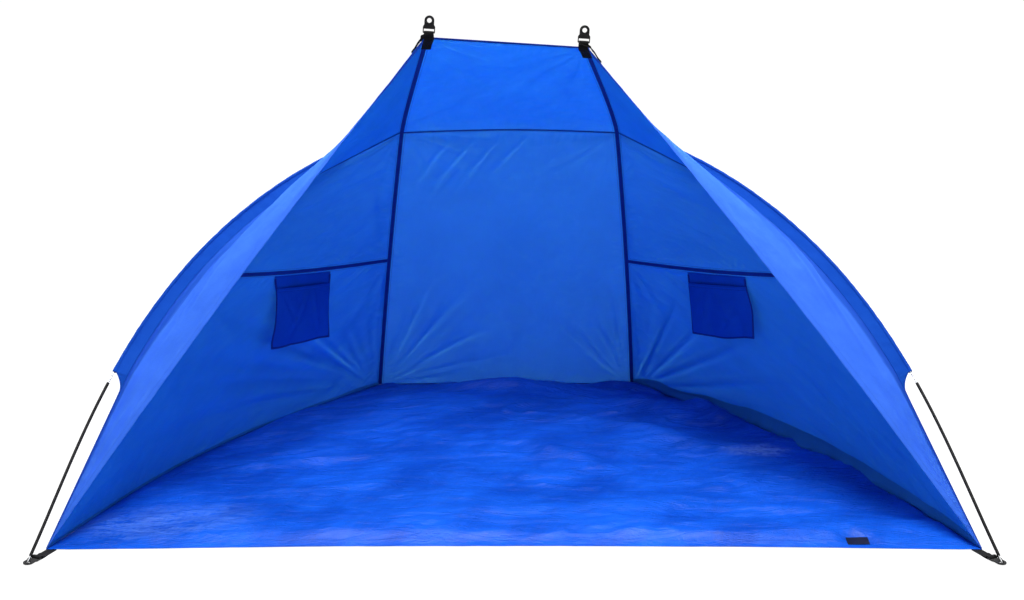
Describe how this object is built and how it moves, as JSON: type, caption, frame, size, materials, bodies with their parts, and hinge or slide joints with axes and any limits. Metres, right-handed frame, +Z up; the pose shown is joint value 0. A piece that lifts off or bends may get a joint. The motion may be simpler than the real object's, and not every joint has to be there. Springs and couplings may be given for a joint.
{
  "type": "beach tent",
  "caption": "Open-fronted beach tent on a leaning hoop pole and upright poles, with a sewn-in groundsheet, side pockets and corner tabs for the pole ends.",
  "frame": {"origin": "middle of the pitched tent's footprint, on the ground under the groundsheet", "axes": "+X to the right as seen from the open front, +Y from the open front towards the back wall, +Z up"},
  "size_m": [2.2606, 1.3792, 1.1965],
  "materials": {
    "wall_cloth": "plain-woven coated polyester, mid blue",
    "floor_cloth": "woven coated sheet, bright blue, slightly glossy",
    "navy_tape": "navy bias tape",
    "pocket_cloth": "dark blue polyester",
    "black_webbing": "black woven webbing",
    "black_plastic": "black moulded plastic",
    "black_pole": "black glass-fibre tube",
    "steel": "bare metal rod",
    "label_cloth": "dark woven label, blank"
  },
  "bodies": {
    "tent": {"back_wall": "wall_cloth", "blank_label": "label_cloth", "front_left_strap": "black_webbing", "front_left_tab": "black_plastic", "front_right_strap": "black_webbing", "front_right_tab": "black_plastic", "groundsheet": "floor_cloth", "hoop_crown_spigot": "steel", "hoop_left_foot_pin": "steel", "hoop_left_lower": "black_pole", "hoop_left_lower_spigot": "steel", "hoop_left_middle": "black_pole", "hoop_left_upper": "black_pole", "hoop_left_upper_spigot": "steel", "hoop_right_foot_pin": "steel", "hoop_right_lower": "black_pole", "hoop_right_lower_spigot": "steel", "hoop_right_middle": "black_pole", "hoop_right_upper": "black_pole", "hoop_right_upper_spigot": "steel", "left_hoop_sleeve": "wall_cloth", "left_lower_side_panel": "wall_cloth", "left_side_tape": "navy_tape", "left_upper_side_panel": "wall_cloth", "left_upright_binding": "navy_tape", "left_upright_foot_pin": "steel", "left_upright_lower": "black_pole", "left_upright_lower_spigot": "steel", "left_upright_middle": "black_pole", "left_upright_sleeve": "navy_tape", "left_upright_upper": "black_pole", "left_upright_upper_spigot": "steel", "left_wing_panel": "wall_cloth", "rear_left_strap": "black_webbing", "rear_left_tab": "black_plastic", "rear_right_strap": "black_webbing", "rear_right_tab": "black_plastic", "right_hoop_sleeve": "wall_cloth", "right_lower_side_panel": "wall_cloth", "right_side_tape": "navy_tape", "right_upper_side_panel": "wall_cloth", "right_upright_binding": "navy_tape", "right_upright_foot_pin": "steel", "right_upright_lower": "black_pole", "right_upright_lower_spigot": "steel", "right_upright_middle": "black_pole", "right_upright_sleeve": "navy_tape", "right_upright_upper": "black_pole", "right_upright_upper_spigot": "steel", "right_wing_panel": "wall_cloth", "roof_front_binding": "navy_tape", "roof_panel": "wall_cloth", "top_left_loop": "black_webbing", "top_right_loop": "black_webbing"},
    "left_pocket": {"left_pocket": "pocket_cloth"},
    "right_pocket": {"right_pocket": "pocket_cloth"},
    "top_left_tab": {"top_left_tab": "black_plastic"},
    "top_right_tab": {"top_right_tab": "black_plastic"}
  },
  "joints": [
    {"name": "left_pocket_flap", "type": "hinge", "parent": "tent", "child": "left_pocket", "pos_m": [-0.56622, 0.1926, 0.4626], "axis": [-0.641, -0.7561, 0.1317], "range_deg": [-6, 110]},
    {"name": "right_pocket_flap", "type": "hinge", "parent": "tent", "child": "right_pocket", "pos_m": [0.56861, 0.18826, 0.46188], "axis": [-0.6427, 0.7541, -0.1352], "range_deg": [-6, 110]},
    {"name": "top_left_tab_swing", "type": "hinge", "parent": "tent", "child": "top_left_tab", "pos_m": [-0.20401, -0.14838, 1.15525], "axis": [0.9981, 0, -0.0624], "range_deg": [-90, 90]},
    {"name": "top_right_tab_swing", "type": "hinge", "parent": "tent", "child": "top_right_tab", "pos_m": [0.17201, -0.14838, 1.13175], "axis": [0.9981, 0, -0.0624], "range_deg": [-90, 90]}
  ]
}
